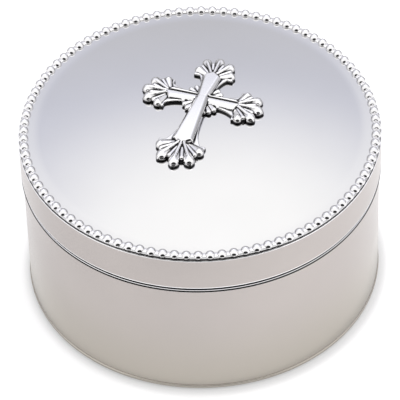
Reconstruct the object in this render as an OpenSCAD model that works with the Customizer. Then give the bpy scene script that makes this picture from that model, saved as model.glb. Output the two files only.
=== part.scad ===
// Round keepsake box for a rosary, with a lift-off lid.
// The origin is the centre of the underside, with +Z up and -Y towards the viewer.
// The body is a tube on a base disc. An inner collar stands above the tube and guides the lid.
// The lid is a tube under a slightly domed plate, with a border of beads and a cast cross.

/* [Outside] */
// Outside diameter of the lid
lid_d = 82.8; // [70:0.1:110]
// Height of the seam between body and lid, above the table
seam_z = 33.7; // [26:0.1:60]
// Height of the lid's tube, from the seam to the plate
skirt_h = 8.4; // [7.6:0.1:16]

/* [Metal] */
// Thickness of the lid's tube
lid_sheet = 0.9; // [0.6:0.05:1.5]
// Thickness of the body's tube
body_sheet = 0.6; // [0.4:0.05:1.2]
// Thickness of the inner collar
collar_sheet = 0.7; // [0.4:0.05:1.2]
// Height that the collar stands above the seam
collar_up = 5; // [3:0.1:5.5]
// Depth that the collar reaches below the seam
collar_down = 7; // [4:0.5:15]
// Radial clearance between the collar and the lid
lid_clear = 0.15; // [0.05:0.01:0.3]
// Diameter of the half-round wire near the seam
wire_d = 0.8; // [0.6:0.1:1.4]
// Distance of the wire below the seam
wire_down = 0.6; // [0:0.1:1.5]
// Thickness of the base disc
base_t = 0.9; // [0.6:0.1:2]
// Distance that the base disc stands out from the body
base_proud = 0.2; // [0:0.05:0.4]
// Rounding of the edges of the base disc and the lid plate
edge_round = 0.3; // [0.1:0.05:0.4]

/* [Lid plate] */
// Thickness of the lid plate
plate_t = 0.9; // [0.8:0.1:1.5]
// Thickness of the lip that stands up round the plate
lip_t = 0.2; // [0.1:0.05:0.3]
// Height of the lip, from the plate's underside
lip_h = 0.3; // [0.2:0.05:0.7]
// Rise of the plate's middle above its edge
dome_rise = 1; // [0.8:0.1:3]
// Distance from the beads to the foot of the dome
dome_margin = 0.8; // [0.3:0.1:3]

/* [Beaded border] */
// Diameter of one bead
bead_d = 2.3; // [1.8:0.1:2.6]
// Distance from bead to bead
bead_pitch = 2.615; // [2.5:0.005:4]
// Distance from the plate's edge to the middle of the beads
bead_inset = 1.2; // [1.2:0.05:4]
// Height of the bead's centre above the plate
bead_lift = 0.3; // [0:0.05:0.6]
// Thickness of the flat strip under the beads
strip_t = 0.25; // [0.15:0.05:0.5]
// Distance that the strip shows on each side of the beads
strip_margin = 0.05; // [0.03:0.01:0.2]

/* [Cross] */
// Place of the crossing, to the right of the lid's middle
cross_x = 0.9; // [-4:0.1:4]
// Place of the crossing, behind the lid's middle
cross_y = 8; // [2:0.1:10]
// Turn of the cross, clockwise from above
cross_turn = 19.5; // [-30:0.5:30]
// Length of the upper arm
upper_arm = 14; // [12.5:0.1:16]
// Length of each side arm
side_arm = 14.4; // [12.5:0.1:16]
// Length of the lower arm
lower_arm = 22.5; // [16:0.1:26]
// Thickness of the cross's flat backing
backing_t = 1; // [0.6:0.1:1.6]
// Height of the upright's raised bars, from the plate
bar_h = 2.2; // [1.8:0.1:3]
// Height of the side arms' bars, from the plate
side_bar_h = 1.7; // [1.5:0.1:3]
// Width of a bar at its foot
bar_w = 3.6; // [2.8:0.1:4.4]
// Width of a bar's flat top
bar_top_w = 2.4; // [0.8:0.1:2.6]
// Length of the lower palmette, from its root to its tip
fan_l = 8; // [6.5:0.1:9]
// Length of the other palmettes
small_fan_l = 6.7; // [5.5:0.1:8]
// Diameter of a palmette's ribs
rib_d = 2; // [1.2:0.1:2.2]
// Diameter of the balls at the palmette's tips
ball_d = 2.9; // [2.4:0.1:3.2]
// Reach of the leaves in the corners of the cross
leaf_reach = 5; // [4:0.1:6]
// Diameter of a corner leaf
leaf_d = 1.3; // [0.9:0.1:1.6]
// Diameter of the posts that hold the cross
post_d = 1.6; // [1.2:0.1:2]
// Distance of the upper post from the crossing
upper_post = 6; // [3:0.1:6.5]
// Distance of the lower post from the crossing
lower_post = 10; // [5:0.1:12]
// Diameter of the spring clips on the posts
clip_d = 3.8; // [3:0.1:4.4]
// Thickness of the spring clips
clip_t = 0.35; // [0.2:0.05:0.4]

/* [Lining] */
// Thickness of the felt under the base
felt_t = 0.5; // [0.3:0.1:1.5]
// Distance of the felt's edge inside the body
felt_inset = 2.5; // [1:0.1:6]
// Thickness of the card under the floor pad
floor_card_t = 1; // [0.6:0.1:2]
// Thickness of the floor pad
pad_t = 3.2; // [2:0.1:5]
// Rise of the floor pad's crown, part of its thickness
pad_crown = 1; // [0.5:0.1:1.5]
// Thickness of the card behind the wall lining
wall_card_t = 0.7; // [0.4:0.1:1.2]
// Thickness of the velvet on the wall
wall_velvet_t = 0.8; // [0.5:0.1:1.5]
// Height of the wall lining above the seam
lining_up = 2; // [0:0.1:3]
// Thickness of the card in the lid
lid_card_t = 0.8; // [0.5:0.1:1]
// Thickness of the velvet pad in the lid
lid_velvet_t = 1.8; // [1:0.1:1.8]

/* [Fits] */
// Gap in a soldered or glued joint between round faces
glue_gap = 0.05; // [0.02:0.01:0.1]
// Gap round a soft pad
soft_gap = 0.3; // [0.2:0.05:0.5]

/* [Hidden] */

silver = "gainsboro";
bright_silver = "whitesmoke";
velvet = "midnightblue";
card = "tan";

round_fn = 180;
bead_fn = 24;
dome_steps = 12;
edge_steps = 5;

// Radii, from the outside of the lid inwards
lid_r = lid_d / 2;
skirt_ri = lid_r - lid_sheet;
collar_ro = skirt_ri - lid_clear;
collar_ri = collar_ro - collar_sheet;
body_ri = collar_ro + glue_gap;
body_ro = body_ri + body_sheet;
base_r = body_ro + base_proud;
felt_r = body_ro - felt_inset;
floor_card_r = body_ri - glue_gap;
wall_card_ro = collar_ri - glue_gap;
wall_card_ri = wall_card_ro - wall_card_t;
wall_velvet_ri = wall_card_ri - wall_velvet_t;
pad_r = wall_velvet_ri - soft_gap;
lid_card_r = skirt_ri - glue_gap;
lid_velvet_r = skirt_ri - soft_gap;
plate_r = lid_r - lip_t - glue_gap;
bead_path_r = plate_r - bead_inset;
dome_r = bead_path_r - bead_d / 2 - dome_margin;

// Heights, from the table up
base_z = felt_t;
wall_z = base_z + base_t;
pad_z = wall_z + floor_card_t;
lining_top = seam_z + lining_up;
collar_bottom = seam_z - collar_down;
plate_under = seam_z + skirt_h;
plate_top = plate_under + plate_t;
lip_top = plate_under + lip_h;
lid_card_z = plate_under - lid_card_t;
lid_velvet_z = lid_card_z - lid_velvet_t;
cross_z = plate_top + dome_rise;

// Beads on the border
bead_count = round(2 * PI * bead_path_r / bead_pitch);

// Palmette ribs: angle from the arm, and reach of the ball's centre as a share of the palmette
fan_angles = [-64, -31, 0, 31, 64];
fan_reach = [0.64, 0.8, 0.84, 0.8, 0.64];
fan_root = 1.5;
fan_web = 0.76;
flare_steps = 8;
leaf_angles = [25, 45, 65];
post_places = [upper_post, -lower_post];
post_tip = 0.25;

// Height of the dome above the plate's edge at a distance from the middle
function dome(r) = r < dome_r ? dome_rise * (1 - pow(r / dome_r, 2)) : 0;

// Outline points of a dome from the middle to its foot, at a base height
function dome_points(z) = [for (i = [0 : dome_steps]) let (r = dome_r * i / dome_steps) [r, z + dome(r)]];

// Points of a rounded outer edge, from one angle to another
function edge_points(r, z, from, to) =
    [for (i = [0 : edge_steps]) let (a = from + (to - from) * i / edge_steps)
        [r - edge_round + edge_round * cos(a), z + edge_round * sin(a)]];

// Distance of a post from the lid's middle
function post_r(p) = norm([cross_x + p * sin(cross_turn), cross_y + p * cos(cross_turn)]);

// A round wall between two radii
module ring(ro, ri, z0, z1) {
    translate([0, 0, z0]) difference() {
        cylinder(r = ro, h = z1 - z0, $fn = round_fn);
        translate([0, 0, -1]) cylinder(r = ri, h = z1 - z0 + 2, $fn = round_fn);
    }
}

// Moves and turns its children into the cross's place on the lid
module at_cross() {
    translate([cross_x, cross_y, 0]) rotate([0, 0, -cross_turn]) children();
}

module base_felt() {
    color(velvet) cylinder(r = felt_r, h = felt_t, $fn = round_fn);
}

module base_plate() {
    color(silver) rotate_extrude($fn = round_fn)
        polygon(concat([[0, base_z]],
                       edge_points(base_r, base_z + edge_round, -90, 0),
                       edge_points(base_r, wall_z - edge_round, 0, 90),
                       [[0, wall_z]]));
}

module body_wall() {
    color(silver) ring(body_ro, body_ri, wall_z, seam_z);
}

// Half-round wire on the outside of the body, a little under the lid
module seam_wire() {
    wire_r = wire_d / 2;
    wire_z = seam_z - wire_down - wire_r;
    color(bright_silver) rotate_extrude($fn = round_fn) difference() {
        translate([body_ro, wire_z]) circle(r = wire_r, $fn = 32);
        translate([body_ro - wire_d, wire_z - wire_d]) square([wire_d, 2 * wire_d]);
    }
}

module collar() {
    color(silver) ring(collar_ro, collar_ri, collar_bottom, seam_z + collar_up);
}

module floor_card() {
    color(card) translate([0, 0, wall_z]) cylinder(r = floor_card_r, h = floor_card_t, $fn = round_fn);
}

module floor_pad() {
    edge_t = pad_t - pad_crown;
    crown = [for (i = [0 : dome_steps]) let (s = i / dome_steps)
        [pad_r * (1 - s), pad_z + edge_t + pad_crown * (1 - pow(1 - s, 4))]];
    color(velvet) rotate_extrude($fn = round_fn) polygon(concat([[0, pad_z], [pad_r, pad_z]], crown));
}

module wall_card() {
    color(card) ring(wall_card_ro, wall_card_ri, pad_z, lining_top);
}

module wall_lining() {
    color(velvet) ring(wall_card_ri, wall_velvet_ri, pad_z, lining_top);
}

// Lid's tube, with a thin lip that stands up round the plate
module lid_skirt() {
    color(silver) rotate_extrude($fn = round_fn)
        polygon([[skirt_ri, seam_z], [lid_r, seam_z], [lid_r, lip_top], [lid_r - lip_t, lip_top],
                 [lid_r - lip_t, plate_under], [skirt_ri, plate_under]]);
}

// The plate is a thin pressing: its underside follows its top
module lid_plate() {
    top = dome_points(plate_top);
    color(bright_silver) difference() {
        rotate_extrude($fn = round_fn)
            polygon(concat(dome_points(plate_under),
                           edge_points(plate_r, plate_under + edge_round, -90, 0),
                           edge_points(plate_r, plate_top - edge_round, 0, 90),
                           [for (i = [dome_steps : -1 : 0]) top[i]]));
        at_cross() for (p = post_places)
            translate([0, p, plate_under - 1]) cylinder(d = post_d + 2 * glue_gap, h = plate_t + dome_rise + 2, $fn = 32);
    }
}

// Beads on a flat strip that lies on the plate
module bead_border() {
    strip_half = bead_d / 2 + strip_margin;
    color(bright_silver) {
        ring(bead_path_r + strip_half, bead_path_r - strip_half, plate_top, plate_top + strip_t);
        difference() {
            for (i = [0 : bead_count - 1])
                rotate([0, 0, 360 * (i + 0.5) / bead_count]) translate([bead_path_r, 0, plate_top + bead_lift])
                    sphere(d = bead_d, $fn = bead_fn);
            translate([0, 0, plate_top + strip_t / 2 - bead_d]) cylinder(r = plate_r, h = bead_d, $fn = round_fn);
        }
    }
}

// One rib of a palmette or leaf, lying along X, with a ball at its tip
module rib(angle, root, reach, rib, ball) {
    rotate([0, 0, angle]) {
        translate([root, 0, 0]) rotate([0, 90, 0]) cylinder(d = rib, h = reach - root, $fn = 24);
        translate([reach, 0, 0]) sphere(d = ball, $fn = 24);
    }
}

// Flat backing of one arm, along -Y: a waist that flares out to the palmette's web
module arm_backing(length, fan) {
    fan_y = length - fan;
    waist = bar_w / 2 + 0.2;
    spread = fan * fan_reach[4] * sin(fan_angles[4]);
    flare = [for (i = [0 : flare_steps]) let (s = i / flare_steps)
        [waist + (spread - waist) * pow(s, 3), -s * (fan_y + fan * fan_reach[4] * cos(fan_angles[4]))]];
    web = [for (a = [60 : -15 : -60]) [fan * fan_web * sin(a), -fan_y - fan * fan_web * cos(a)]];
    polygon(concat(flare, web, [for (i = [flare_steps : -1 : 0]) [-flare[i][0], flare[i][1]]]));
}

// Raised bar of one arm, along -Y, with sloping sides and a pointed end
module arm_bar(length, fan, height) {
    point = length - fan * 0.85;
    tip = bar_w / 2;
    intersection() {
        linear_extrude(height)
            polygon([[-bar_w / 2, bar_w / 2], [bar_w / 2, bar_w / 2], [bar_w / 2, -point], [0, -point - tip],
                     [-bar_w / 2, -point]]);
        translate([0, bar_w, 0]) rotate([90, 0, 0]) linear_extrude(length + bar_w)
            polygon([[-bar_w / 2 - 0.01, -1], [bar_w / 2 + 0.01, -1], [bar_w / 2 + 0.01, backing_t],
                     [bar_top_w / 2, height], [-bar_top_w / 2, height], [-bar_w / 2 - 0.01, backing_t]]);
    }
}

// One arm along -Y, whose palmette has the length fan and whose bar has the given height
module arm(length, fan, height) {
    rib_z = backing_t * 0.6;
    translate([0, 0, -dome_rise]) linear_extrude(dome_rise + backing_t) arm_backing(length, fan);
    arm_bar(length, fan, height);
    translate([0, fan - length, rib_z])
        for (i = [0 : len(fan_angles) - 1])
            rib(fan_angles[i] - 90, fan_root, fan * fan_reach[i], rib_d, ball_d);
}

// Cast cross, cut below to the shape of the dome, with two posts through the plate
module cross() {
    leaf_z = backing_t * 0.7;
    color(bright_silver) difference() {
        union() {
            at_cross() translate([0, 0, cross_z]) {
                arm(lower_arm, fan_l, bar_h);
                rotate([0, 0, 90]) arm(side_arm, small_fan_l, side_bar_h);
                rotate([0, 0, 180]) arm(upper_arm, small_fan_l, bar_h);
                rotate([0, 0, -90]) arm(side_arm, small_fan_l, side_bar_h);
                translate([0, 0, leaf_z]) for (quarter = [0 : 3]) for (a = leaf_angles)
                    rib(90 * quarter + a, 0.5, leaf_reach - leaf_d / 2, leaf_d, leaf_d + 0.2);
            }
        }
        rotate_extrude($fn = round_fn)
            polygon(concat(dome_points(plate_top), [[plate_r, plate_top], [plate_r, 0], [0, 0]]));
    }
    color(bright_silver) at_cross() for (p = post_places)
        translate([0, p, plate_under + post_tip])
            cylinder(d = post_d, h = dome_rise + plate_t + backing_t / 2 - post_tip, $fn = 32);
}

// Push-on spring clips that hold the posts under the plate
module cross_clips() {
    color(silver) at_cross() for (p = post_places)
        translate([0, p, plate_under + dome(post_r(p) + clip_d / 2) - clip_t]) difference() {
            cylinder(d = clip_d, h = clip_t, $fn = 48);
            translate([0, 0, -1]) cylinder(d = post_d + 2 * glue_gap, h = clip_t + 2, $fn = 32);
        }
}

module lid_card() {
    color(card) translate([0, 0, lid_card_z]) cylinder(r = lid_card_r, h = lid_card_t, $fn = round_fn);
}

module lid_lining() {
    color(velvet) translate([0, 0, lid_velvet_z]) cylinder(r = lid_velvet_r, h = lid_velvet_t, $fn = round_fn);
}

base_felt();
base_plate();
body_wall();
seam_wire();
collar();
floor_card();
floor_pad();
wall_card();
wall_lining();
lid_skirt();
lid_plate();
bead_border();
cross();
cross_clips();
lid_card();
lid_lining();
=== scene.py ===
from math import cos, hypot, pi, radians, sin

import bmesh
import bpy
import numpy
from mathutils import Matrix, Quaternion, Vector


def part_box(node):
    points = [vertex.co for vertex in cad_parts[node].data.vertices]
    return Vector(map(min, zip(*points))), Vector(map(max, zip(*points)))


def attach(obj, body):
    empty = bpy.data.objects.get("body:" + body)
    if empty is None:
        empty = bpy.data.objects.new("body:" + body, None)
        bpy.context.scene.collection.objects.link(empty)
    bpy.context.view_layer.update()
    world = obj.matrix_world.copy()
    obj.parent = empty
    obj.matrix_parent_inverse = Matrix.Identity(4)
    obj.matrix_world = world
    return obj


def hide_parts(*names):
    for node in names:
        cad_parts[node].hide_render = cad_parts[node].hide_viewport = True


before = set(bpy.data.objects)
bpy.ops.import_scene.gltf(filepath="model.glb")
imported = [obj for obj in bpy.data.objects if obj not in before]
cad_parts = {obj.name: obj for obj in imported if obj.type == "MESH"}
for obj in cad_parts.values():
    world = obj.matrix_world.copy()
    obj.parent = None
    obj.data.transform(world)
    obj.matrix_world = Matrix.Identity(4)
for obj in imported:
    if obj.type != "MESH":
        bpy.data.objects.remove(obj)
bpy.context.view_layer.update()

# The pieces are modelled in millimetres and put into metres when they are finished
MM = 0.001

# Camera, fitted to the photograph, in degrees and millimetres. Its clipping is in metres.
VIEW_ELEVATION = 45.08
VIEW_ROLL = -1.95
VIEW_DISTANCE = 811.3
VIEW_AIM = (-0.5, 0, 20.1)
LENS = 314.0
SENSOR = 36.0
CAMERA_CLIP = (0.05, 10.0)

# Roundness of the turned pieces, and the corner angle that counts as sharp
RING_STEPS = 256
SHARP = radians(35)
ROUND_SEGMENTS = 3
MERGE_DISTANCE = 1e-4
FACE_WEIGHT = 100

# Sheet metal and its edges
LID_SHEET = 0.9
BODY_SHEET = 0.6
COLLAR_SHEET = 0.7
PLATE_SHEET = 0.9
EDGE_ROUND = 0.15
THIN_ROUND = 0.05
PLATE_ROUND = 0.28
CORNER_STEP = 10
LIP_T = 0.2
LIP_ROUND = 0.06
BASE_ROUND = 0.3

# Half-round wire, with its steps in degrees, and the skin of the recess above it, which is painted dark as
# shade
WIRE_STEP = 6
RECESS_T = 0.03

# Bands of painted highlight and of painted shade. The wire's painted highlight is given in degrees
# on its round, and the plate's painted shade in heights above the plate's underside.
PAINTED_HIGHLIGHT_BAND = 0.2
SEAM_PAINTED_SHADE = 0.12
WIRE_PAINTED_HIGHLIGHT = (43.0, 63.0)
RIM_PAINTED_SHADE_SPAN = (0.40, 0.62)
RIM_PAINTED_SHADE_MARGIN = 0.04
RIM_BAND = 0.1
RIM_FADE = (-38.0, -5.0)
FOOT_FADE = 26.0

# Lid plate and beads
DOME_RISE = 1.0
DOME_R = 38.0
DOME_STEPS = 24
BEAD_COUNT = 96
BEAD_R = 1.14
BEAD_PATH = 40.2
BEAD_SEGMENTS = 20
BEAD_RINGS = 14
BEAD_CUT = 0.02
STRIP_T = 0.25
STRIP_HALF = 0.7

# Cross: its place and turn on the lid, and its arms
CROSS_AT = (0.9, 8.0)
CROSS_TURN = 19.5
UPPER_ARM = 14.0
SIDE_ARM = 14.4
LOWER_ARM = 22.5
LOWER_FAN = 8.0
OTHER_FAN = 6.7
BAR_HEIGHT = 2.2
SIDE_BAR_HEIGHT = 1.65
BAR_STEPS = 10
BAR_SHORT = 0.1
BAR_FOOT = 0.2
BAR_POINT = 1.6

# Each arm's direction, length and palmette, its bar's half widths at the crossing and at its end,
# its bar's height, and the width and height of its bevel
ARMS = (
    (pi, LOWER_ARM, LOWER_FAN, (1.4, 2.4), BAR_HEIGHT, (0.6, 0.6)),
    (0, UPPER_ARM, OTHER_FAN, (1.4, 2.1), BAR_HEIGHT, (0.6, 0.6)),
    (pi / 2, SIDE_ARM, OTHER_FAN, (1.3, 1.8), SIDE_BAR_HEIGHT, (0.6, 0.45)),
    (-pi / 2, SIDE_ARM, OTHER_FAN, (1.3, 1.8), SIDE_BAR_HEIGHT, (0.6, 0.45)),
)

# Flared backing under an arm's bar
BACKING_T = 0.9
BACKING_PAST = 1.2
BACKING_HALF = 1.9
BACKING_TUCK = 1.6
BACKING_FLARE = 4
BACKING_SLOPE = 0.15

# Palmette: lobes with a crest and a tip each, a curl on either side, and veins between the lobes.
# Reaches are shares of the palmette, angles are in degrees, and the rest is in millimetres for
# the largest palmette.
FAN_ANGLES = (-64, -31, 0, 31, 64)
FAN_REACH = (0.64, 0.79, 0.83, 0.79, 0.64)
WEB_REACH = 0.72
WEB_CUT = 0.4
WEB_TAPER = 0.2
WEB_SEGMENTS = 48
LOBE_ROOT = 0.6
LOBE_THIN = 0.4
LOBE_R = 1.35
LOBE_HEIGHT = 0.6
CURL_FROM = 50
CURL_LOBE_R = 1.15
CURL_R = 0.75
CURL_HEIGHT = 1.1
CREST_ROOT = 1.0
CREST_SHORT = 0.3
CREST_THIN = 0.3
CREST_R = 0.42
CREST_FOOT = 0.5
CREST_HEIGHT = 1.15
TIP_OUT = 0.85
TIP_R = 0.7
TIP_HEIGHT = 0.35
VEIN_ANGLES = (-48, -15.5, 15.5, 48)
VEIN_ROOT = 0.8
VEIN_REACH = 0.68
VEIN_THIN = 0.3
VEIN_R = 0.5
VEIN_HEIGHT = 1.0
RIB_SEGMENTS = 20
BALL_SEGMENTS = 20
BALL_RINGS = 12

# Scalloped tufts in the corners between the arms
LEAF_ANGLES = (-27, -9, 9, 27)
LEAF_WEB_R = 4.5
LEAF_WEB_T = 0.8
LEAF_ROOT = 0.5
LEAF_REACH = 4.4
LEAF_THIN = 0.3
LEAF_R = 0.62
LEAF_HEIGHT = 0.6

# Fused skin of the casting, and the line engraved along its side bars
CAST_VOXEL = 0.12
CAST_SMOOTHING = 5
CAVITY_SMOOTHING = 30
ENGRAVED_AT = 0.45
ENGRAVED_FROM = 1.1
ENGRAVED_TO = 8.4
ENGRAVED_HALF = 0.42
ENGRAVED_DEPTH = 0.4
# Painted shade put into the engraved line, as a hollow depth in millimetres
ENGRAVED_PAINTED_SHADE = 0.15
ENGRAVED_FADE = 0.03
CROSS_LIFT = 0.01
POST_R = 0.8
POST_SEGMENTS = 24
POST_PLACES = (6.0, -10.0)

# Linings
VELVET_T = 0.8
FELT_ROUND = 0.12
LINING_LEVELS = 24
LINING_ROUND = 0.3

# Depth, count round the wall and lean of each ripple in the wall's velvet, and its butt joint
RIPPLES = ((0.03, 7, 0.13), (0.02, 19, -0.3))
JOINT_DEPTH = 0.35
JOINT_HALF = 0.02

# Pads, and the cloth simulation that swells them at PAD_SCALE times their size
PAD_MARGIN = 0.35
PAD_RINGS = 10
PAD_CROWN = 4
PAD_ROUND = 0.6
PAD_SHARP = radians(60)
PAD_VOXEL = 1.0
PAD_SWELL = 0.75
PAD_SCALE = 8
PAD_PRESSURE = 4.0
GLUED_BAND = 0.4
CLOTH_QUALITY = 6
CLOTH_FRAMES = 20


def corners(node):
    """Lowest and highest corner of a CAD node, in millimetres."""
    low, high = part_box(node)
    return low / MM, high / MM


def dome(r):
    """Height of the lid's dome above the plate's edge."""
    return DOME_RISE * (1 - (r / DOME_R) ** 2) if r < DOME_R else 0.0


# Making and finishing pieces


def finish_piece(name, bm, body, replaced, material):
    """Turns a bmesh in millimetres into a smooth piece in metres that rides on a body."""
    mesh = bpy.data.meshes.new(name)
    bm.to_mesh(mesh)
    bm.free()
    mesh.transform(Matrix.Scale(MM, 4))
    mesh.shade_smooth()
    piece = bpy.data.objects.new(name, mesh)
    bpy.context.scene.collection.objects.link(piece)
    mesh.materials.append(material)
    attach(piece, body)
    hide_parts(replaced)
    return piece


def weight_normals(piece):
    """Keeps the large faces flat beside their rounded edges."""
    weights = piece.modifiers.new("even_normals", "WEIGHTED_NORMAL")
    weights.weight = FACE_WEIGHT
    return piece


def turned(profile, closed=True, edge_round=EDGE_ROUND, sharp=SHARP):
    """Spins a profile of (radius, height) points round the box's axis and rounds its sharp rings."""
    bm = bmesh.new()
    points = [bm.verts.new((r, 0, z)) for r, z in profile]
    edges = [bm.edges.new(pair) for pair in zip(points, points[1:])]
    if closed:
        edges.append(bm.edges.new((points[-1], points[0])))
    bmesh.ops.spin(bm, geom=points + edges, cent=(0, 0, 0), axis=(0, 0, 1), angle=2 * pi,
                   steps=RING_STEPS, use_merge=True)
    bmesh.ops.remove_doubles(bm, verts=bm.verts, dist=MERGE_DISTANCE)
    bmesh.ops.recalc_face_normals(bm, faces=bm.faces)
    rings = [e for e in bm.edges if len(e.link_faces) == 2 and e.calc_face_angle(0) > sharp]
    if edge_round and rings:
        bmesh.ops.bevel(bm, geom=rings, offset=edge_round, offset_type="OFFSET",
                        segments=ROUND_SEGMENTS, profile=0.5, affect="EDGES", material=-1,
                        clamp_overlap=True)
    return bm


def tube_profile(outer, inner, low, high):
    return [(inner, low), (outer, low), (outer, high), (inner, high)]


def cut_flat(bm, verts, spot, normal):
    """Cuts a form off at a plane, closes the cut and returns what is left of the form."""
    edges = list(dict.fromkeys(e for v in verts for e in v.link_edges))
    faces = list(dict.fromkeys(f for v in verts for f in v.link_faces))
    cut = bmesh.ops.bisect_plane(bm, geom=verts + edges + faces, plane_co=spot, plane_no=normal,
                                 clear_outer=True)
    rim = [g for g in cut["geom_cut"] if isinstance(g, bmesh.types.BMEdge)]
    flat = bmesh.ops.edgeloop_fill(bm, edges=rim)["faces"]
    return [g for g in cut["geom"] if g.is_valid] + flat


def apply_modifier(piece, modifier_type, **settings):
    """Adds a modifier and writes its result into the mesh."""
    modifier = piece.modifiers.new(modifier_type.lower(), modifier_type)
    for key, value in settings.items():
        setattr(modifier, key, value)
    evaluated = piece.evaluated_get(bpy.context.evaluated_depsgraph_get())
    made = bpy.data.meshes.new_from_object(evaluated)
    piece.modifiers.clear()
    old, name = piece.data, piece.data.name
    piece.data = made
    bpy.data.meshes.remove(old)
    made.name = name
    return piece


# Materials

# Near black: tarnish and painted shade in the casting's hollows, painted shade on its foot and on the
# plate's rim
TARNISH_AND_PAINTED_SHADE = (0.02, 0.02, 0.021)
THIN_PAINTED_SHADE = (0.2, 0.2, 0.2)
VELVET_SHEEN = (0.45, 0.55, 0.9)

# Colour of the casting from its hollows to its ridges, dark in the hollows with tarnish deepened by
# painted shade, how deep a hollow counts, in millimetres, and the heights between which its foot
# turns dark with painted shade
CAST_STOPS = [
    (0.34, TARNISH_AND_PAINTED_SHADE),
    (0.46, (0.62, 0.61, 0.61)),
    (0.50, (0.86, 0.85, 0.85)),
    (0.70, (0.95, 0.94, 0.94)),
]
CAVITY_RANGE = 0.1
CAST_FOOT_PAINTED_SHADE = (0.8, 0.35)

# Positions of a noise pattern's two colours
DARK_AT = 0.35
PALE_AT = 0.65
LIT_AT = 0.7


def new_material(name):
    material = bpy.data.materials.new(name)
    material.use_nodes = True
    nodes = material.node_tree.nodes
    return material, nodes, material.node_tree.links, nodes["Principled BSDF"]


def noise(nodes, links, scale, stretch=(1, 1, 1), detail=3.0, roughness=0.5):
    """A noise pattern on Object coordinates, which are in metres; scale counts bumps to the millimetre."""
    where = nodes.new("ShaderNodeTexCoord")
    mapping = nodes.new("ShaderNodeMapping")
    mapping.inputs["Scale"].default_value = [s * scale / MM for s in stretch]
    pattern = nodes.new("ShaderNodeTexNoise")
    pattern.inputs["Scale"].default_value = 1.0
    pattern.inputs["Detail"].default_value = detail
    pattern.inputs["Roughness"].default_value = roughness
    links.new(where.outputs["Object"], mapping.inputs["Vector"])
    links.new(mapping.outputs["Vector"], pattern.inputs["Vector"])
    return pattern.outputs["Fac"]


def graded(nodes, links, value, stops):
    """Turns a value into a colour through (position, colour) stops."""
    ramp = nodes.new("ShaderNodeValToRGB")
    elements = ramp.color_ramp.elements
    while len(elements) < len(stops):
        elements.new(0.5)
    for element, (position, colour) in zip(elements, stops):
        element.position = position
        element.color = (*colour, 1)
    links.new(value, ramp.inputs["Fac"])
    return ramp.outputs["Color"]


def ranged(nodes, links, value, low, high, from_low=0.3, from_high=0.7):
    """Maps a stretch of a value, by default the middle of a noise pattern, onto another range."""
    mapped = nodes.new("ShaderNodeMapRange")
    mapped.inputs["From Min"].default_value = from_low
    mapped.inputs["From Max"].default_value = from_high
    mapped.inputs["To Min"].default_value = low
    mapped.inputs["To Max"].default_value = high
    links.new(value, mapped.inputs["Value"])
    return mapped.outputs["Result"]


def mixed(nodes, links, share, first, second):
    """Blends two colours, each a tuple or an output, by a share from 0 to 1."""
    mix = nodes.new("ShaderNodeMix")
    mix.data_type = "RGBA"
    links.new(share, mix.inputs["Factor"])
    for socket, value in ((mix.inputs[6], first), (mix.inputs[7], second)):
        if isinstance(value, tuple):
            socket.default_value = (*value, 1)
        else:
            links.new(value, socket)
    return mix.outputs[2]


def smooth_step(nodes, links, value, low, high):
    """Goes smoothly from 0 where the value is low to 1 where it is high; low may be the larger."""
    step = nodes.new("ShaderNodeMapRange")
    step.interpolation_type = "SMOOTHSTEP"
    step.inputs["From Min"].default_value = low
    step.inputs["From Max"].default_value = high
    links.new(value, step.inputs["Value"])
    return step.outputs["Result"]


def bumped(nodes, links, shader, height, distance):
    """Adds a relief of that depth in millimetres to the shader's normal."""
    bump = nodes.new("ShaderNodeBump")
    bump.inputs["Distance"].default_value = distance * MM
    links.new(height, bump.inputs["Height"])
    links.new(bump.outputs["Normal"], shader.inputs["Normal"])


def silver(name, tint, shade, gloss, streak, relief, foot=None):
    """Plated sheet: cloudy colour between two tints, smudged gloss, and fine polishing streaks.

    A foot colour makes the sheet gently darker and yellower towards the table.
    """
    material, nodes, links, shader = new_material(name)
    shader.inputs["Metallic"].default_value = 1.0
    clouds = noise(nodes, links, scale=0.035, detail=4)
    colour = graded(nodes, links, clouds, [(DARK_AT, shade), (PALE_AT, tint)])
    if foot:
        where = nodes.new("ShaderNodeTexCoord")
        height = nodes.new("ShaderNodeSeparateXYZ")
        links.new(where.outputs["Object"], height.inputs["Vector"])
        share = smooth_step(nodes, links, height.outputs["Z"], FOOT_FADE * MM, 0)
        colour = mixed(nodes, links, share, colour, foot)
    links.new(colour, shader.inputs["Base Color"])
    smudges = noise(nodes, links, scale=0.09, detail=5, roughness=0.6)
    links.new(ranged(nodes, links, smudges, *gloss), shader.inputs["Roughness"])
    streaks = noise(nodes, links, scale=1.6, stretch=streak, detail=2)
    bumped(nodes, links, shader, streaks, relief)
    return material


def rim_painted_shade(name):
    """Painted shade round the plate, black at the front and thinner towards the back."""
    material, nodes, links, shader = new_material(name)
    shader.inputs["Metallic"].default_value = 1.0
    where = nodes.new("ShaderNodeTexCoord")
    split = nodes.new("ShaderNodeSeparateXYZ")
    links.new(where.outputs["Object"], split.inputs["Vector"])
    share = smooth_step(nodes, links, split.outputs["Y"], *(y * MM for y in RIM_FADE))
    links.new(mixed(nodes, links, share, TARNISH_AND_PAINTED_SHADE, THIN_PAINTED_SHADE), shader.inputs["Base Color"])
    clouds = noise(nodes, links, scale=0.4, detail=4)
    links.new(ranged(nodes, links, clouds, low=0.35, high=0.5), shader.inputs["Roughness"])
    bumped(nodes, links, shader, clouds, distance=0.002)
    return material


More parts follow.
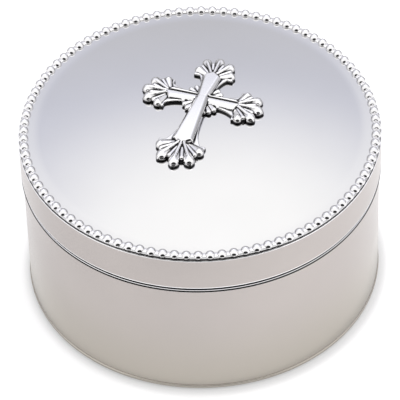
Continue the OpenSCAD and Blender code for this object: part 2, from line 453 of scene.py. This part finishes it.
def cast_silver(name):
    """Polished casting, dark in its recesses with tarnish deepened by painted shade, and with painted shade
    along its foot.
    """
    material, nodes, links, shader = new_material(name)
    shader.inputs["Metallic"].default_value = 1.0
    cavity = nodes.new("ShaderNodeAttribute")
    cavity.attribute_name = "cavity"
    ridge = ranged(nodes, links, cavity.outputs["Fac"], low=1, high=0, from_low=-CAVITY_RANGE,
                   from_high=CAVITY_RANGE)
    polish = graded(nodes, links, ridge, CAST_STOPS)
    relief = nodes.new("ShaderNodeAttribute")
    relief.attribute_name = "relief"
    # Painted shade along the casting's foot
    foot = smooth_step(nodes, links, relief.outputs["Fac"], *CAST_FOOT_PAINTED_SHADE)
    links.new(mixed(nodes, links, foot, polish, TARNISH_AND_PAINTED_SHADE), shader.inputs["Base Color"])
    smudges = noise(nodes, links, scale=0.5, detail=4)
    links.new(ranged(nodes, links, smudges, low=0.07, high=0.14), shader.inputs["Roughness"])
    grain = noise(nodes, links, scale=3.0, detail=3)
    bumped(nodes, links, shader, grain, distance=0.003)
    return material


def velvet(name, deep, lit, pile):
    """Short-pile velvet: brushed patches, a sheen on the pile and a fine nap."""
    material, nodes, links, shader = new_material(name)
    patches = noise(nodes, links, scale=0.12, detail=3)
    links.new(graded(nodes, links, patches, [(DARK_AT, deep), (LIT_AT, lit)]), shader.inputs["Base Color"])
    shader.inputs["Roughness"].default_value = 0.9
    shader.inputs["Sheen Weight"].default_value = 0.8
    shader.inputs["Sheen Roughness"].default_value = 0.35
    shader.inputs["Sheen Tint"].default_value = (*VELVET_SHEEN, 1)
    nap = noise(nodes, links, scale=4.0, detail=4, roughness=0.7)
    bumped(nodes, links, shader, nap, pile)
    return material


def fibrous(name, pale, dark, scale, relief):
    """Card or felt: flecked fibres and a matt, slightly rough face."""
    material, nodes, links, shader = new_material(name)
    fibres = noise(nodes, links, scale, detail=6, roughness=0.75)
    links.new(graded(nodes, links, fibres, [(DARK_AT, dark), (PALE_AT, pale)]), shader.inputs["Base Color"])
    shader.inputs["Roughness"].default_value = 0.92
    bumped(nodes, links, shader, fibres, relief)
    return material


def make_materials():
    """All finishes. A streak squeezes the polishing marks along one axis, so that they run across it."""
    flat, level, across = (1, 1, 1), (1, 1, 14), (1, 14, 1)
    return {
        "polished": silver("polished_silver", tint=(0.66, 0.655, 0.655), shade=(0.64, 0.635, 0.635),
                           gloss=(0.05, 0.08), streak=across, relief=0.0002),
        "satin": silver("satin_silver", tint=(0.472, 0.433, 0.412), shade=(0.446, 0.409, 0.39),
                        gloss=(0.22, 0.27), streak=level, relief=0.0005, foot=(0.462, 0.428, 0.38)),
        # Painted shade: the wire, its recess under the lid and the lid's lowest edge
        "painted_shade": silver("groove_painted_shade", tint=(0.02, 0.02, 0.02), shade=(0.012, 0.012, 0.012),
                          gloss=(0.35, 0.5), streak=flat, relief=0.002),
        # Painted shade round the plate's edge
        "rim": rim_painted_shade("rim_painted_shade"),
        # The beads, and the painted highlights on the wire and on the edges of the wall and the lid
        "bead": silver("bead_and_highlight_silver", tint=(0.88, 0.87, 0.87), shade=(0.85, 0.84, 0.84),
                       gloss=(0.05, 0.08), streak=flat, relief=0.0004),
        "cast": cast_silver("cast_silver"),
        "clip": silver("clip_steel", tint=(0.5, 0.5, 0.51), shade=(0.4, 0.4, 0.41),
                       gloss=(0.25, 0.35), streak=flat, relief=0.002),
        "velvet": velvet("blue_velvet", deep=(0.012, 0.017, 0.06), lit=(0.022, 0.032, 0.11), pile=0.12),
        "felt": fibrous("blue_felt", pale=(0.03, 0.04, 0.12), dark=(0.018, 0.024, 0.08), scale=2.5,
                        relief=0.1),
        "card": fibrous("grey_board", pale=(0.50, 0.44, 0.35), dark=(0.40, 0.34, 0.27), scale=1.5,
                        relief=0.03),
    }


# Metal pieces


def make_base_plate(finish):
    low, high = corners("base_plate")
    bm = turned([(0, low.z), (high.x, low.z), (high.x, high.z), (0, high.z)], closed=False,
                edge_round=BASE_ROUND)
    piece = finish_piece("base_disc", bm, "box", "base_plate", finish["satin"])
    return weight_normals(piece)


def make_collar(finish):
    low, high = corners("collar")
    bm = turned(tube_profile(high.x, high.x - COLLAR_SHEET, low.z, high.z))
    piece = finish_piece("inner_collar", bm, "box", "collar", finish["satin"])
    return weight_normals(piece)


def make_body_wall(finish):
    """Wall of the box, with a painted highlight from a little under its wire up to its top edge."""
    low, high = corners("body_wall")
    highlight_from = corners("seam_wire")[0].z - PAINTED_HIGHLIGHT_BAND
    bm = turned([(high.x - BODY_SHEET, low.z), (high.x, low.z), (high.x, highlight_from), (high.x, high.z),
                 (high.x - BODY_SHEET, high.z)])
    for face in bm.faces:
        # Painted highlight from a little under the wire upwards
        face.material_index = int(face.calc_center_median().z > highlight_from)
    piece = finish_piece("box_wall", bm, "box", "body_wall", finish["satin"])
    piece.data.materials.append(finish["bead"])
    return weight_normals(piece)


def make_seam_wire(finish):
    """Half-round wire round the top of the box, painted dark as shade but for a painted highlight along it,
    and the recess between it and the lid, painted dark as shade."""
    low, high = corners("seam_wire")
    seam = corners("body_wall")[1].z
    middle, radius = (low.z + high.z) / 2, (high.z - low.z) / 2
    inner = high.x - radius
    arc = [radians(a) for a in range(-90, 91, WIRE_STEP)]
    curve = [(inner + radius * cos(a), middle + radius * sin(a)) for a in arc]
    recess = inner + RECESS_T
    bm = turned(curve + [(recess, high.z), (recess, seam), (inner, seam)], edge_round=0)
    bright_low, bright_high = (middle + radius * sin(radians(a)) for a in WIRE_PAINTED_HIGHLIGHT)
    # Painted highlight along the wire; the rest of the wire and the recess get painted shade
    for face in bm.faces:
        face.material_index = int(bright_low < face.calc_center_median().z < bright_high)
    piece = finish_piece("rim_wire", bm, "box", "seam_wire", finish["painted_shade"])
    piece.data.materials.append(finish["bead"])
    return piece


def make_lid_band(finish):
    """Side of the lid, with a thin lip that stands up round the plate.

    Its two edges carry a painted highlight, and painted shade lies along its lowest edge.
    """
    low, high = corners("lid_skirt")
    shelf = corners("lid_plate")[0].z
    dark, pale, top = low.z + SEAM_PAINTED_SHADE, low.z + SEAM_PAINTED_SHADE + PAINTED_HIGHLIGHT_BAND, high.z - PAINTED_HIGHLIGHT_BAND
    bm = turned([(high.x - LID_SHEET, low.z), (high.x, low.z), (high.x, dark), (high.x, pale), (high.x, top),
                 (high.x, high.z), (high.x - LIP_T, high.z), (high.x - LIP_T, shelf),
                 (high.x - LID_SHEET, shelf)], edge_round=LIP_ROUND)
    for face in bm.faces:
        height = face.calc_center_median().z
        # Painted shade along the lowest edge, painted highlights along both edges
        face.material_index = 2 if height < dark else int(height < pale or height > top)
    piece = finish_piece("lid_band", bm, "lid", "lid_skirt", finish["satin"])
    piece.data.materials.append(finish["bead"])
    piece.data.materials.append(finish["painted_shade"])
    return weight_normals(piece)


def make_lid_plate(finish):
    """Slightly domed plate; its underside follows its top. Its edge is painted dark as shade above the lip.
    """
    low, high = corners("lid_plate")
    top = low.z + PLATE_SHEET
    radii = [DOME_R * i / DOME_STEPS for i in range(DOME_STEPS + 1)]
    under = [(r, low.z + dome(r)) for r in radii]
    over = [(r, top + dome(r)) for r in reversed(radii)]
    dark_low, dark_high = (low.z + height for height in RIM_PAINTED_SHADE_SPAN)
    angles = [radians(a) for a in range(0, 91, CORNER_STEP)]
    middle = (high.x - PLATE_ROUND, top - PLATE_ROUND)
    corner = [(middle[0] + PLATE_ROUND * cos(a), middle[1] + PLATE_ROUND * sin(a)) for a in angles]
    edge = [(high.x, low.z), (high.x, dark_low)]
    bm = turned(under + edge + corner + over, closed=False, edge_round=THIN_ROUND)
    for face in bm.faces:
        spot = face.calc_center_median()
        upright = hypot(spot.x, spot.y) > high.x - RIM_BAND
        # Painted shade on the upright edge of the plate
        face.material_index = int(upright and dark_low < spot.z < dark_high + RIM_PAINTED_SHADE_MARGIN)
    piece = finish_piece("domed_plate", bm, "lid", "lid_plate", finish["polished"])
    piece.data.materials.append(finish["rim"])
    return weight_normals(piece)


def make_bead_border(finish):
    """Half-round beads on a thin strip along the plate's edge."""
    foot = corners("bead_border")[0].z
    bm = turned(tube_profile(BEAD_PATH + STRIP_HALF, BEAD_PATH - STRIP_HALF, foot, foot + STRIP_T),
                edge_round=THIN_ROUND)
    step = 2 * pi / BEAD_COUNT
    place = Matrix.Rotation(step / 2, 4, "Z") @ Matrix.Translation((BEAD_PATH, 0, foot))
    ball = bmesh.ops.create_uvsphere(bm, u_segments=BEAD_SEGMENTS, v_segments=BEAD_RINGS,
                                     radius=BEAD_R, matrix=place)["verts"]
    bead = cut_flat(bm, ball, (0, 0, foot + BEAD_CUT), (0, 0, -1))
    bmesh.ops.spin(bm, geom=bead, cent=(0, 0, 0), axis=(0, 0, 1), angle=step * (BEAD_COUNT - 1),
                   steps=BEAD_COUNT - 1, use_duplicate=True)
    return finish_piece("beaded_border", bm, "lid", "bead_border", finish["bead"])


# The cast cross


def add_loft(bm, sections):
    """Joins closed sections with the same number of points into one closed form."""
    loops = []
    for section in sections:
        verts = [bm.verts.new(point) for point in section]
        loops.append([bm.edges.new(pair) for pair in zip(verts, verts[1:] + verts[:1])])
    for first, second in zip(loops, loops[1:]):
        bmesh.ops.bridge_loops(bm, edges=first + second)
    for loop in (loops[0], loops[-1]):
        bmesh.ops.edgeloop_fill(bm, edges=loop)


def add_bar(bm, place, length, half_width, low, high, slope=0.0, point=0.0):
    """A bar along +Y whose half width follows half_width(share of the length), with sloping sides and a
    point at its end."""
    sections = []
    for step in range(BAR_STEPS + 1):
        share = step / BAR_STEPS
        y, middle, width = share * length, share * (length + point), half_width(share)
        shape = [(-width, y, low), (0, middle, low), (width, y, low),
                 (width - slope, y, high), (0, middle - slope * share, high), (slope - width, y, high)]
        sections.append([place @ Vector(spot) for spot in shape])
    add_loft(bm, sections)


def add_rib(bm, place, angle, root, reach, thin, thick, height):
    """A rib that widens from its root to a rounded lobe at its tip."""
    turn = place @ Matrix.Translation((0, 0, height)) @ Matrix.Rotation(radians(-angle), 4, "Z")
    stem = Matrix.Translation((0, (root + reach) / 2, 0)) @ Matrix.Rotation(-pi / 2, 4, "X")
    bmesh.ops.create_cone(bm, cap_ends=True, segments=RIB_SEGMENTS, radius1=thin, radius2=thick,
                          depth=reach - root, matrix=turn @ stem)
    add_ball(bm, turn, (0, reach, 0), thick)


def add_ball(bm, place, spot, radius):
    bmesh.ops.create_uvsphere(bm, u_segments=BALL_SEGMENTS, v_segments=BALL_RINGS, radius=radius,
                              matrix=place @ Matrix.Translation(spot))


def add_web(bm, place, radius, thickness, cut_at=None):
    """A thin round plate. With cut_at, it is kept only from that far along +Y."""
    middle = place @ Matrix.Translation((0, 0, thickness / 2))
    plate = bmesh.ops.create_cone(bm, cap_ends=True, segments=WEB_SEGMENTS, radius1=radius,
                                  radius2=radius - WEB_TAPER, depth=thickness, matrix=middle)["verts"]
    if cut_at is not None:
        cut_flat(bm, plate, place @ Vector((0, cut_at, 0)), place.to_3x3() @ Vector((0, -1, 0)))


def add_palmette(bm, place, length, fan):
    """A shell of fluted lobes round the end of an arm, with veins between them and a curl on either side.

    Half of a lobe's thickness follows the size of the palmette.
    """
    root = place @ Matrix.Translation((0, length - fan, 0))
    size = 0.5 + 0.5 * fan / LOWER_FAN
    add_web(bm, root, WEB_REACH * fan, BACKING_T, cut_at=WEB_CUT)
    for angle, share in zip(FAN_ANGLES, FAN_REACH):
        reach = share * fan
        curled = abs(angle) > CURL_FROM
        lobe = (CURL_LOBE_R if curled else LOBE_R) * size
        turn = root @ Matrix.Rotation(radians(-angle), 4, "Z")
        add_rib(bm, root, angle, LOBE_ROOT, reach, LOBE_THIN, lobe, LOBE_HEIGHT)
        if curled:
            add_ball(bm, turn, (0, reach, CURL_HEIGHT), CURL_R * size)
        else:
            add_rib(bm, root, angle, CREST_ROOT, reach - CREST_SHORT, CREST_THIN, CREST_R * size,
                    CREST_FOOT + CREST_HEIGHT * size)
            add_ball(bm, turn, (0, reach + TIP_OUT * size, TIP_HEIGHT), TIP_R * size)
    for angle in VEIN_ANGLES:
        add_rib(bm, root, angle, VEIN_ROOT, VEIN_REACH * fan, VEIN_THIN, VEIN_R * size, VEIN_HEIGHT)


def add_arm(bm, turn, length, fan, base, top, bevel):
    """One arm: a flared backing, a raised bevelled bar with a pointed end, and the palmette.

    base gives the bar's half width at the crossing and at its end, and bevel its width and height.
    """
    place = Matrix.Rotation(turn, 4, "Z")
    root = length - fan
    spread = FAN_REACH[0] * fan * sin(radians(FAN_ANGLES[-1]))
    shoulder = top - bevel[1]

    def backing_width(share):
        return BACKING_HALF + (spread - BACKING_TUCK) * share ** BACKING_FLARE

    def bar_width(share):
        return base[0] + (base[1] - base[0]) * share

    add_bar(bm, place, root + BACKING_PAST, backing_width, 0, BACKING_T, slope=BACKING_SLOPE)
    add_bar(bm, place, root - BAR_SHORT, bar_width, BAR_FOOT, shoulder, point=BAR_POINT)
    add_bar(bm, place, root - BAR_SHORT, bar_width, shoulder, top, slope=bevel[0], point=BAR_POINT)
    add_palmette(bm, place, length, fan)


def add_corner_leaves(bm):
    """A scalloped tuft in each corner between the arms."""
    add_web(bm, Matrix.Identity(4), LEAF_WEB_R, LEAF_WEB_T)
    for quarter in range(4):
        place = Matrix.Rotation(quarter * pi / 2 + pi / 4, 4, "Z")
        for angle in LEAF_ANGLES:
            add_rib(bm, place, angle, LEAF_ROOT, LEAF_REACH, LEAF_THIN, LEAF_R, LEAF_HEIGHT)


def points_of(vertices):
    """The places of a mesh's vertices as rows of a numpy array."""
    points = numpy.empty(3 * len(vertices), dtype=numpy.float32)
    vertices.foreach_get("co", points)
    return points.reshape(-1, 3)


def store_cavity(piece, engraved):
    """Notes how far each point lies in a hollow, in millimetres, against a well smoothed copy.

    The engraved lines count as hollows as well, which paints shade into them.
    """
    mesh = piece.data
    before = points_of(mesh.vertices)
    normals = numpy.empty(3 * len(before), dtype=numpy.float32)
    mesh.vertex_normals.foreach_get("vector", normals)
    piece.modifiers.new("blur", "SMOOTH").iterations = CAVITY_SMOOTHING
    blurred = piece.evaluated_get(bpy.context.evaluated_depsgraph_get()).to_mesh()
    hollow = ((points_of(blurred.vertices) - before) * normals.reshape(-1, 3)).sum(axis=1)
    piece.modifiers.clear()
    hollow = numpy.maximum(hollow, ENGRAVED_PAINTED_SHADE * engraved - ENGRAVED_FADE)
    mesh.attributes.new("cavity", "FLOAT", "POINT").data.foreach_set("value", hollow)


def engrave_side_bars(mesh):
    """Cuts a line along each side bar, a little behind its middle. Returns its share of the full depth."""
    depth = numpy.zeros(len(mesh.vertices), dtype=numpy.float32)
    for vert in mesh.vertices:
        across, along = abs(vert.co.y - ENGRAVED_AT), abs(vert.co.x)
        if vert.co.z > BACKING_T and ENGRAVED_FROM < along < ENGRAVED_TO and across < ENGRAVED_HALF:
            depth[vert.index] = 1 - across / ENGRAVED_HALF
            vert.co.z -= ENGRAVED_DEPTH * depth[vert.index]
    return depth


def make_cross(finish):
    """The casting is built of overlapping forms, fused into one skin and bent to the dome.

    Its two posts are added to it and go through the plate.
    """
    bm = bmesh.new()
    for arm in ARMS:
        add_arm(bm, *arm)
    add_corner_leaves(bm)
    mesh = bpy.data.meshes.new("cast_cross")
    bm.to_mesh(mesh)
    bm.free()
    piece = bpy.data.objects.new("cast_cross", mesh)
    bpy.context.scene.collection.objects.link(piece)
    apply_modifier(piece, "REMESH", mode="VOXEL", voxel_size=CAST_VOXEL)
    apply_modifier(piece, "SMOOTH", factor=0.5, iterations=CAST_SMOOTHING)
    store_cavity(piece, engrave_side_bars(piece.data))
    seat = corners("lid_plate")[0].z + PLATE_SHEET
    turn = Matrix.Rotation(radians(-CROSS_TURN), 4, "Z")
    mesh = piece.data
    mesh.transform(Matrix.Translation((*CROSS_AT, 0)) @ turn)
    relief = mesh.attributes.new("relief", "FLOAT", "POINT")
    for vert in mesh.vertices:
        relief.data[vert.index].value = vert.co.z
        vert.co.z = max(vert.co.z, 0.0) + seat + dome(hypot(vert.co.x, vert.co.y)) + CROSS_LIFT
    bm = bmesh.new()
    bm.from_mesh(mesh)
    foot, head = corners("cross")[0].z, seat + DOME_RISE
    middle = Matrix.Translation((*CROSS_AT, (foot + head) / 2)) @ turn
    for y in POST_PLACES:
        bmesh.ops.create_cone(bm, cap_ends=True, segments=POST_SEGMENTS, radius1=POST_R, radius2=POST_R,
                              depth=head - foot, matrix=middle @ Matrix.Translation((0, y, 0)))
    bpy.data.objects.remove(piece)
    return finish_piece("ornate_cross", bm, "lid", "cross", finish["cast"])


# Linings


def swell(piece, pinned_below):
    """Swells a closed pad with a short cloth simulation, its glued underside held still."""
    scene = bpy.context.scene
    mesh = piece.data
    mesh.transform(Matrix.Scale(PAD_SCALE, 4))
    still = piece.vertex_groups.new(name="glued")
    still.add([v.index for v in mesh.vertices if v.co.z < pinned_below * MM * PAD_SCALE], 1.0, "REPLACE")
    home = [v.co.copy() for v in mesh.vertices]
    cloth = piece.modifiers.new("cloth", "CLOTH")
    cloth.settings.use_pressure = True
    cloth.settings.uniform_pressure_force = PAD_PRESSURE
    cloth.settings.effector_weights.gravity = 0.0
    cloth.settings.vertex_group_mass = "glued"
    cloth.settings.quality = CLOTH_QUALITY
    for step in range(1, CLOTH_FRAMES + 1):
        scene.frame_set(step)
    evaluated = piece.evaluated_get(bpy.context.evaluated_depsgraph_get())
    swollen = bpy.data.meshes.new_from_object(evaluated)
    piece.modifiers.clear()
    piece.vertex_groups.clear()
    most = PAD_SWELL * MM * PAD_SCALE
    for vert, start in zip(swollen.vertices, home):
        moved = vert.co - start
        if moved.length > most:
            vert.co = start + moved * (most / moved.length)
    swollen.transform(Matrix.Scale(1 / PAD_SCALE, 4))
    piece.data = swollen
    scene.frame_set(1)


def make_pad(name, node, body, finish, thickness, glued_low, crown):
    """A padded velvet disc, crowned away from the card that it is glued to.

    A pad that is glued on its top is turned over for the simulation and back after it.
    """
    low, high = corners(node)
    radius = high.x - PAD_MARGIN
    base, face = (low.z, low.z + thickness) if glued_low else (high.z, high.z - thickness)
    flip = Matrix.Translation((0, 0, 2 * base * MM)) @ Matrix.Scale(-1, 4, (0, 0, 1))
    rings = [radius * i / PAD_RINGS for i in range(PAD_RINGS + 1)]
    rise = crown if glued_low else -crown
    crowned = [(r, face + rise * (1 - (r / radius) ** PAD_CROWN)) for r in reversed(rings)]
    bm = turned([(0, base), (radius, base)] + crowned, closed=False, edge_round=PAD_ROUND, sharp=PAD_SHARP)
    piece = finish_piece(name, bm, body, node, finish["velvet"])
    apply_modifier(piece, "REMESH", mode="VOXEL", voxel_size=PAD_VOXEL * MM)
    if not glued_low:
        piece.data.transform(flip)
    swell(piece, base + GLUED_BAND)
    if not glued_low:
        piece.data.transform(flip)
    bm = bmesh.new()
    bm.from_mesh(piece.data)
    bmesh.ops.recalc_face_normals(bm, faces=bm.faces)
    bm.to_mesh(piece.data)
    bm.free()
    piece.data.shade_smooth()
    soften = piece.modifiers.new("soften", "SUBSURF")
    soften.levels = soften.render_levels = 1
    return piece


def make_wall_lining(finish):
    """Velvet strip round the wall, rolled over at its top, with a butt joint at the back."""
    low, high = corners("wall_lining")
    outer, inner = high.x, high.x - VELVET_T
    face = [(inner, low.z + (high.z - low.z) * i / LINING_LEVELS) for i in range(LINING_LEVELS, -1, -1)]
    bm = turned([(outer, low.z), (outer, high.z)] + face, edge_round=LINING_ROUND)
    for vert in bm.verts:
        r = hypot(vert.co.x, vert.co.y)
        if r < inner + LINING_ROUND:
            turn = Vector((vert.co.x, vert.co.y)).angle_signed(Vector((0, 1)))
            ripple = sum(depth * sin(count * turn + lean * vert.co.z) for depth, count, lean in RIPPLES)
            joint = JOINT_DEPTH * max(0.0, 1 - abs(turn) / JOINT_HALF)
            vert.co.x *= (r + ripple + joint) / r
            vert.co.y *= (r + ripple + joint) / r
    piece = finish_piece("velvet_wall", bm, "box", "wall_lining", finish["velvet"])
    return piece


def make_base_felt(finish):
    low, high = corners("base_felt")
    bm = turned([(0, low.z), (high.x, low.z), (high.x, high.z), (0, high.z)], closed=False,
                edge_round=FELT_ROUND)
    piece = finish_piece("underside_felt", bm, "box", "base_felt", finish["felt"])
    return piece


def dress_cad_nodes(finish):
    """Gives the hidden cards and clips, which keep their CAD shape, their finish."""
    for node, key in (("floor_card", "card"), ("wall_card", "card"), ("lid_card", "card"),
                      ("cross_clips", "clip")):
        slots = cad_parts[node].data.materials
        slots.clear()
        slots.append(finish[key])


# Studio

# Brightness of the room by half of 1 plus the sine of the elevation: 0 is straight down, 0.5 is the
# horizon and 1 is straight up
ROOM_STOPS = [
    (0.46, (1.05, 1.05, 1.06)),
    (0.50, (0.12, 0.12, 0.13)),
    (0.55, (0.20, 0.20, 0.21)),
    (0.62, (0.66, 0.66, 0.69)),
    (0.794, (0.79, 0.79, 0.84)),
    (0.834, (0.88, 0.895, 1.01)),
    (0.871, (0.98, 0.99, 1.10)),
    (0.905, (1.04, 1.06, 1.16)),
    (0.935, (1.04, 1.06, 1.16)),
    (0.965, (2.60, 2.60, 2.60)),
]

# The front half of the tent, by the direction's Y, and the lamp behind the box, in degrees
FRONT_COLOUR = (1.14, 1.14, 1.15)
FRONT_FROM = 0.35
FRONT_FULL = -0.05
LAMP_COLOUR = (1.47, 1.47, 1.47)
LAMP_ELEVATION = 51.3
LAMP_AZIMUTH = 1.4
LAMP_CORE = 2.7
LAMP_EDGE = 12.0

# The dark opening of the light tent, low in front of the box, in degrees
OPENING_COLOUR = (0.03, 0.03, 0.03)
OPENING_ELEVATION = -10.0
OPENING_AZIMUTH = 180
OPENING_CORE = 46.0
OPENING_EDGE = 48.0

# The table top, which glows as painted light, a little more to the right, with a painted contact shadow
# round the box
TABLE_R = 135.0
TABLE_AT = (0.0, 35.0)
TABLE_DROP = 0.02
TABLE_STEPS = 128
FLOOR_COLOUR = (0.86, 0.86, 0.86)
PAINTED_FLOOR_GLOW = (0.37, 0.59)
GLOW_REACH = 70
PAINTED_CONTACT_SHADOW = (0.62, 0.62, 0.62)
CONTACT_AT = (0.4, -0.3)
CONTACT_FADE = (41.0, 44.0)


def angle_from(nodes, links, direction, elevation, azimuth):
    """Angle between a direction and the one at an elevation, and azimuth clockwise from behind the box."""
    up, aside = radians(elevation), radians(azimuth)
    alignment = nodes.new("ShaderNodeVectorMath")
    alignment.operation = "DOT_PRODUCT"
    alignment.inputs[1].default_value = (cos(up) * sin(aside), cos(up) * cos(aside), sin(up))
    links.new(direction, alignment.inputs[0])
    angle = nodes.new("ShaderNodeMath")
    angle.operation = "ARCCOSINE"
    links.new(alignment.outputs["Value"], angle.inputs[0])
    return angle.outputs["Value"]


def make_room():
    """A light tent: dim at the horizon, bright overhead, a soft lamp behind, and its opening in front."""
    world = bpy.data.worlds.new("studio")
    bpy.context.scene.world = world
    world.use_nodes = True
    nodes, links = world.node_tree.nodes, world.node_tree.links
    direction = nodes.new("ShaderNodeTexCoord").outputs["Generated"]
    split = nodes.new("ShaderNodeSeparateXYZ")
    links.new(direction, split.inputs["Vector"])
    height = ranged(nodes, links, split.outputs["Z"], 0, 1, from_low=-1, from_high=1)
    room = graded(nodes, links, height, ROOM_STOPS)
    lamp = angle_from(nodes, links, direction, LAMP_ELEVATION, LAMP_AZIMUTH)
    lit = smooth_step(nodes, links, lamp, radians(LAMP_EDGE), radians(LAMP_CORE))
    room = mixed(nodes, links, lit, room, LAMP_COLOUR)
    white = smooth_step(nodes, links, split.outputs["Y"], FRONT_FROM, FRONT_FULL)
    room = mixed(nodes, links, white, room, FRONT_COLOUR)
    opening = angle_from(nodes, links, direction, OPENING_ELEVATION, OPENING_AZIMUTH)
    dark = smooth_step(nodes, links, opening, radians(OPENING_EDGE), radians(OPENING_CORE))
    links.new(mixed(nodes, links, dark, room, OPENING_COLOUR), nodes["Background"].inputs["Color"])


def make_floor():
    """A round white table top with a painted contact shadow round the foot of the box, which glows a little
    as painted light.
    """
    bm = bmesh.new()
    bmesh.ops.create_circle(bm, cap_ends=True, segments=TABLE_STEPS, radius=TABLE_R * MM)
    mesh = bpy.data.meshes.new("table_top")
    bm.to_mesh(mesh)
    bm.free()
    mesh.transform(Matrix.Translation((TABLE_AT[0] * MM, TABLE_AT[1] * MM, -TABLE_DROP * MM)))
    floor = bpy.data.objects.new("table_top", mesh)
    bpy.context.scene.collection.objects.link(floor)
    material, nodes, links, shader = new_material("table_white")
    shader.inputs["Roughness"].default_value = 0.95
    shader.inputs["Specular IOR Level"].default_value = 0.1
    where = nodes.new("ShaderNodeTexCoord")
    reach = nodes.new("ShaderNodeVectorMath")
    reach.operation = "DISTANCE"
    reach.inputs[1].default_value = (CONTACT_AT[0] * MM, CONTACT_AT[1] * MM, 0)
    links.new(where.outputs["Object"], reach.inputs[0])
    # Painted contact shadow, fading out from the foot of the box
    away = smooth_step(nodes, links, reach.outputs["Value"], *(r * MM for r in CONTACT_FADE))
    colour = mixed(nodes, links, away, PAINTED_CONTACT_SHADOW, FLOOR_COLOUR)
    links.new(colour, shader.inputs["Base Color"])
    links.new(colour, shader.inputs["Emission Color"])
    split = nodes.new("ShaderNodeSeparateXYZ")
    links.new(where.outputs["Object"], split.inputs["Vector"])
    # Painted light: the table glows, more to the right
    glow = ranged(nodes, links, split.outputs["X"], *PAINTED_FLOOR_GLOW, from_low=-GLOW_REACH * MM,
                  from_high=GLOW_REACH * MM)
    links.new(glow, shader.inputs["Emission Strength"])
    mesh.materials.append(material)


def make_camera():
    data = bpy.data.cameras.new("photo_camera")
    data.lens = LENS
    data.sensor_width = SENSOR
    data.clip_start, data.clip_end = CAMERA_CLIP
    camera = bpy.data.objects.new("photo_camera", data)
    bpy.context.scene.collection.objects.link(camera)
    down = radians(VIEW_ELEVATION)
    forward = Vector((0, cos(down), -sin(down)))
    camera.location = (Vector(VIEW_AIM) - forward * VIEW_DISTANCE) * MM
    camera.rotation_mode = "QUATERNION"
    camera.rotation_quaternion = (forward.to_track_quat("-Z", "Y")
                                  @ Quaternion((0, 0, 1), radians(VIEW_ROLL)))
    bpy.context.scene.camera = camera


finish = make_materials()
make_camera()
make_base_felt(finish)
make_base_plate(finish)
make_body_wall(finish)
make_seam_wire(finish)
make_collar(finish)
make_pad("velvet_floor", "floor_pad", "box", finish, thickness=2.0, glued_low=True, crown=0.4)
make_wall_lining(finish)
make_lid_band(finish)
make_lid_plate(finish)
make_bead_border(finish)
make_cross(finish)
make_pad("velvet_lid", "lid_lining", "lid", finish, thickness=1.1, glued_low=False, crown=0.1)
dress_cad_nodes(finish)
make_room()
make_floor()
bpy.context.scene.view_settings.view_transform = "Standard"
